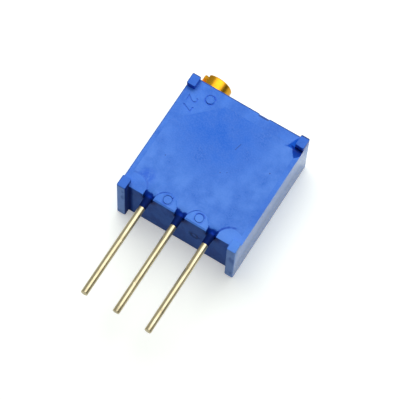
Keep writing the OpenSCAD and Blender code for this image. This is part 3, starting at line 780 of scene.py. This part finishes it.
def patch_and_shadow_by_boss(finish):
    """How much of the patch left of the boss, and of the painted shadow under it, lies here: two
    numbers from 0 to 1.
    """
    ragged = 0.2 * (finish.noise(0.22, 2) - 0.5)
    level = finish.band(finish.z, seal_z - 0.06, back_z + 0.06, 0.02)
    right_of_slant = finish.right_of(3.93, 9.81, 0.5) + ragged
    left_patch = finish.step(right_of_slant, -0.1, 0.1) * finish.band(finish.y + ragged, 8.9, 10, 0.07)
    under_boss = finish.right_of(3.93, boss_low_y, -0.75) + ragged
    above_end = ragged - finish.right_of(4.54, 8.42, 0.9)
    boss_shadow = finish.step(under_boss, -0.06, 0.06) * finish.step(above_end, -0.06, 0.06)
    boss_shadow = boss_shadow * (1 - finish.step(finish.y, boss_low_y + 0.1, boss_low_y + 0.2))
    return level * left_patch, level * boss_shadow


def darken_by_boss(finish, colour, left_patch, boss_shadow):
    """The colour with the patch and the painted shadow of the boss on it."""
    by_the_boss = finish.step(finish.y, boss_low_y - 0.55, boss_low_y - 0.15)
    darkest = finish.mix(by_the_boss, tint(4, 50, 136), tint(0, 34, 120))
    colour = finish.mix(0.95 * left_patch, colour, tint(4, 64, 162))
    return finish.mix(0.95 * boss_shadow, colour, darkest)


# %% [markdown]
# The patch and the painted shadow by the boss, and the dark films, are made to mirror blue and not
# white. A plastic's gloss could be kept for them, but that mirrors white, and under a pale ceiling
# it would wash them out to violet. So they are given a metallic share. The foot ends, painted
# lighter, and the mark in the terminal face get some too.

# %% How much of the dark patches and films mirrors as metal does
dark_metal_share = 0.9


def boss_patch_metal(finish, left_patch, boss_shadow):
    """The metallic share of the patch and the painted shadow: none where it only mirrors the dark
    boss.
    """
    seen_from_above = 1 - finish.step(finish.y, boss_low_y - 0.16, boss_low_y)
    most = finish.add("ShaderNodeMath", {"operation": "MAXIMUM"},
                      {0: left_patch, 1: boss_shadow * seen_from_above})
    return dark_metal_share * most


# %% [markdown]
# Everything now meets in the shader. The terminal face is darker round each wire, a little to its
# right, and the corner beside the left foot is painted dark as shadow.

# %% The plastic's colour, gloss and relief
# Painted shadow: the corner between the left foot and the terminal face, which is also made rough.
in_foot_corner = plastic.band(plastic.x, -4.3, -3.82, 0.16) * (1 - flat_top) * (1 - foot_end_painted_light)
foot_corner_painted_shadow = in_foot_corner * (1 - plastic.step(plastic.y, terminal_face_y, terminal_face_y + 0.1))
blue = plastic.over(
    blue,
    # Painted shade: the terminal face and the foot ends are painted darker, in patches, as the side
    # turned from the lamp.
    (end_face * low_end * (0.25 + 0.35 * patchy_face_shade), (24, 74, 176)),
    (dirty_mark, (0, 52, 118)))
for x in wire_x.values():
    # The terminal face is darker round each wire, a little to its right.
    beside_wire = plastic.near((x + 0.1, terminal_face_y, 0.15), 0.3, 0.9) * end_face
    blue = plastic.over(blue, (beside_wire * 0.85, (2, 32, 120)))
blue = plastic.over(blue, (foot_corner_painted_shadow * 0.9, (0, 36, 128)), (grime_and_painted_shade, (12, 74, 200)))
# The dark patch left of the far boss, and the painted shadow of the boss, on the case.
left_patch, boss_shadow = patch_and_shadow_by_boss(plastic)
plastic.feed("Base Color", darken_by_boss(plastic, blue, left_patch, boss_shadow))
plastic.feed("Metallic", boss_patch_metal(plastic, left_patch, boss_shadow) + 0.5 * foot_end_painted_light + 0.5 * dirty_mark)
plastic.feed("Roughness", 0.12 + 0.06 * clouds + 0.14 * flat_top + 0.45 * end_face
             + 0.1 * boss_top + 0.05 * grain + 0.6 * foot_corner_painted_shadow)
plastic.bump(grain * flat_top + 0.1 * grain + 0.6 * clouds, 0.005)
plastic.dress(case)

# %% [markdown]
# ## The epoxy
# The seal is cast from a blue epoxy close to the case's own colour. Its blue is painted deepest
# round a place towards the screw, and paler and more violet away from it, towards the terminals:
# a painted reflection of the room. A see-through shader would not make it, as the real epoxy is
# too dense to see anything in it. The surface has a smudge, dark specks and one scratch.

# %% Blue epoxy
epoxy = Finish("blue_epoxy", IOR=1.38)
clouds = epoxy.step(epoxy.noise(1.1, 4), 0.3, 0.7)
grain = epoxy.noise(0.12, 2)
# Painted reflection: the pool is a deeper blue round this place, and paler away from it.
middle_without_sheen = epoxy.near((-0.9, 7.6, seal_z), 1.0, 5.2)
ragged_spot = epoxy.step(epoxy.noise(0.35, 2), 0.2, 0.5)
smudge = epoxy.near((-3.4, 1.85, seal_z), 0.2, 0.85) * ragged_spot
specks = 0
for x, y, size in ((3.64, 6.52, 0.07), (-3.2, 3.85, 0.06), (0.7, 4.75, 0.06), (1.1, 5.0, 0.05)):
    specks = specks + epoxy.near((x, y, seal_z), 0.4 * size, size)
from_scratch = epoxy.absolute(epoxy.right_of(0.75, 7.05, 0.25))
scratch = (1 - epoxy.step(from_scratch, 0.012, 0.04)) * epoxy.band(epoxy.y, 6.75, 7.35, 0.05)
pool = epoxy.over(
    epoxy.mix(clouds, tint(48, 109, 208), tint(82, 134, 226)),
    (middle_without_sheen * (0.55 + 0.45 * clouds), (32, 101, 208)),
    (0.7 * smudge, (24, 88, 208)),
    (epoxy.step(grain, 0.45, 0.6) * 0.1, (120, 160, 240)),
    (0.75 * specks + 0.6 * scratch, (24, 34, 110)))
print("the pool took", len(epoxy.tree.nodes), "nodes")

# %% [markdown]
# Round the wires only a thin dark film is left. Along the rounded edges of the pads, on their left
# sides, a dark line of painted shade shows their form. Noise moves the film's edge, so that it
# isn't a straight line, and breaks the painted line up along the pads.

# %% The dark film round the wires, and painted shade along the pads' edges
wire_film_and_edge_shade = 1 - epoxy.step(epoxy.y + 0.4 * (epoxy.noise(0.3, 2) - 0.5), 0.84, 1.0)
broken = 0.25 + 0.6 * epoxy.step(epoxy.noise(0.4, 2), 0.3, 0.65)
# Painted shade along the pads' rounded edges: on their left sides, and faintly all round the left
# corner pad.
for x, edge_r, all_round in ((-corner_pad_x, corner_pad_r, True), (-pad_x, pad_r, False),
                             (pad_x, pad_r, False), (corner_pad_x, corner_pad_r, False)):
    off_edge = epoxy.absolute(epoxy.distance((x, pad_y, seal_z)) - edge_r)
    share = 0.4 if all_round else 1 - epoxy.step(epoxy.x - x, -0.35, 0.3)
    wire_film_and_edge_shade = wire_film_and_edge_shade + (1 - epoxy.step(off_edge, 0.02, 0.12)) * share * broken
wire_film_and_edge_shade = epoxy.add("ShaderNodeClamp", inputs={0: wire_film_and_edge_shade})
round_wire = 1 - epoxy.step(epoxy.y, terminal_face_y - 0.05, terminal_face_y + 0.2)
dark = epoxy.mix(round_wire, tint(0, 50, 160), tint(4, 34, 104))
# The same dark patch and painted shadow by the boss, on the seal.
left_patch, boss_shadow = patch_and_shadow_by_boss(epoxy)
epoxy.feed("Base Color", darken_by_boss(epoxy, epoxy.mix(wire_film_and_edge_shade, pool, dark), left_patch, boss_shadow))
epoxy.feed("Metallic", boss_patch_metal(epoxy, left_patch, boss_shadow) + 0.7 * dark_metal_share * wire_film_and_edge_shade)
epoxy.feed("Roughness", 0.24 + 0.1 * clouds + 0.06 * grain + 0.2 * wire_film_and_edge_shade + 0.15 * round_wire)
epoxy.bump(grain + clouds - 0.6 * scratch, 0.006)
epoxy.dress(seal)

# %% [markdown]
# ## Brass
# The head's gloss is broken by the fine rings that the turning tool leaves round the axis. They
# are noise that is stretched flat in the two other directions. Slow noise gives the tarnish.

# %% Turned brass
brass = Finish("turned_brass", Metallic=1.0)
rings = brass.noise(0.05, 2, stretch=(0.02, 1, 0.02))
tarnish = brass.noise(0.5, 3)
brass.feed("Base Color", brass.mix(tarnish, tint(250, 190, 50), tint(232, 160, 28)))
brass.feed("Roughness", 0.2 + 0.12 * tarnish + 0.08 * rings)
brass.bump(rings, 0.004)
brass.dress(shaft)

# %% [markdown]
# ## Tinned wire
# The wires are copper, drawn through a die and tinned. The die leaves fine lines along them, and
# the tin is a little yellow and dull in places.

# %% Tinned wire
tinned = Finish("tinned_wire", Metallic=1.0)
drawn = tinned.noise(0.06, 2, stretch=(1, 0.05, 1))
dull = tinned.noise(0.7, 3)
tinned.feed("Base Color", tinned.mix(dull, tint(232, 222, 186), tint(204, 190, 150)))
tinned.feed("Roughness", 0.24 + 0.14 * dull + 0.05 * drawn)
tinned.bump(drawn + dull, 0.004)
tinned.dress(*wires.values())

# %% [markdown]
# ## What the case hides
# The pieces inside keep their solids, which already have the right shape. Each still gets the
# finish of its own stuff, because someone may open the model and look. One function makes a
# plain one from two colours that a noise mixes, and a bump of the same noise.

# %% Finishes of the hidden pieces
def plain_finish(name, light, dark, lump, rough, relief, metal=0.0):
    """A finish of two tones, with lumps and relief of a given size in millimetres."""
    finish = Finish(name, Metallic=metal)
    lumps = finish.noise(lump, 3)
    finish.feed("Base Color", finish.mix(lumps, tint(*dark), tint(*light)))
    finish.feed("Roughness", rough + 0.15 * lumps)
    finish.bump(lumps, relief)
    return finish


# %% [markdown]
# The board is white alumina, with a printed track of carbon and conductors of silver. The rest is
# named after its stuff too. Pieces of one stuff share one finish.

# %% Each hidden solid gets its own
inside = (
    (("ceramic_board",), "alumina", (236, 234, 226), (220, 217, 206), 0.12, 0.55, 0.004),
    (("resistive_track",), "carbon_film", (44, 42, 42), (24, 23, 24), 0.08, 0.5, 0.006),
    (("wiper_conductor", "end_conductor_1", "end_conductor_3"), "silver_film",
     (214, 212, 204), (180, 176, 166), 0.1, 0.38, 0.005, 1.0),
    (("solder_1", "solder_2", "solder_3"), "solder",
     (206, 208, 212), (160, 163, 170), 0.5, 0.24, 0.02, 1.0),
    (("sealing_ring",), "black_rubber", (38, 38, 40), (22, 22, 24), 0.2, 0.62, 0.004),
    (("screw_clip",), "spring_steel", (190, 192, 196), (150, 152, 158), 0.4, 0.28, 0.003, 1.0),
    (("wiper",), "spring_bronze", (226, 178, 112), (196, 142, 78), 0.35, 0.26, 0.003, 1.0),
    (("worm_wheel",), "white_moulded_plastic", (232, 228, 212), (216, 210, 190), 0.6, 0.36, 0.004))
for names, *look in inside:
    plain_finish(*look).dress(*(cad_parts[name] for name in names))

# %% [markdown]
# ## The floor and the light
# The part lies on white paper. To the camera the paper is white. What gloss finds in it is half as
# bright, but white just beside the part, where the side wall mirrors it. What the paper throws
# back onto the part is held down, or the shaded sides would lose their depth.

# %% Floor
bpy.ops.mesh.primitive_plane_add(size=2, location=(0, 0, front_z * MM))
floor = bpy.context.object
floor.name = "paper"
bpy.ops.object.transform_apply(location=True, rotation=True, scale=True)
paper = Finish("white_paper", Roughness=1.0, Specular_IOR_Level=0.0, Emission_Strength=0.34)
seen, mirrored, _ = paper.rays()
beside_part = paper.near((7, 6, front_z), 6, 7)
white = seen + mirrored * (0.5 + 0.5 * beside_part)
paper.feed("Base Color", paper.mix(white, (0.4, 0.4, 0.4, 1), (0.9, 0.94, 0.89, 1)))
paper.feed("Emission Color", paper.mix(white, (0, 0, 0, 1), (1, 1, 1, 1)))
paper.dress(floor)

# %% [markdown]
# The main light could be a sun, but its shadows would be hard. So one large softbox hangs over the
# part, to the side of the screw, and the side with the terminals is shaded.

# %% Lamp
lamp_way = Vector((-0.23, 0.4, 1)).normalized()
lamp_distance, lamp_size = 80 * MM, 85 * MM
bpy.ops.object.light_add(type="AREA", location=lamp_distance * lamp_way)
lamp = bpy.context.object
lamp.name = "softbox"
lamp.data.shape = "SQUARE"
lamp.data.size = lamp_size
lamp.data.energy = 0.071
lamp.rotation_euler = lamp_way.to_track_quat("Z", "Y").to_euler()
lamp.visible_camera = False
lamp.visible_glossy = False
print("the softbox hangs", round(lamp.location.z / MM), "mm up")

# %% [markdown]
# The room gives the rest: a weak light that is stronger from the right, and for gloss a bright
# ceiling over a dim room, which is what draws the bands on the brass and the wires. To the camera
# it is white, as the paper is.

# %% Room
world = bpy.data.worlds.new("studio")
bpy.context.scene.world = world
world.use_nodes = True
room = Nodes(world.node_tree, "Background")
way = room.add("ShaderNodeTexCoord")
ceiling_way = Vector((0.22, 0.33, 0.92)).normalized()
to_ceiling = room.add("ShaderNodeVectorMath", {"operation": "DOT_PRODUCT"},
                      {0: way, 1: ceiling_way}, 1)
to_right = room.add("ShaderNodeSeparateXYZ", inputs={0: way})
room_light = 0.14 + 0.45 * room.step(to_right, 0.3, 1.0)
in_gloss = 0.36 - 0.24 * room.step(to_right, -0.7, 0.1) + 2.2 * room.step(to_ceiling, 0.72, 1.0)
seen, mirrored, lighting = room.rays()
room.feed("Strength", seen + mirrored * in_gloss + lighting * room_light)
room.shader.inputs["Color"].default_value = (1, 1, 1, 1)
bpy.context.scene.view_settings.view_transform = "Standard"
print("the room has", len(world.node_tree.nodes), "nodes")
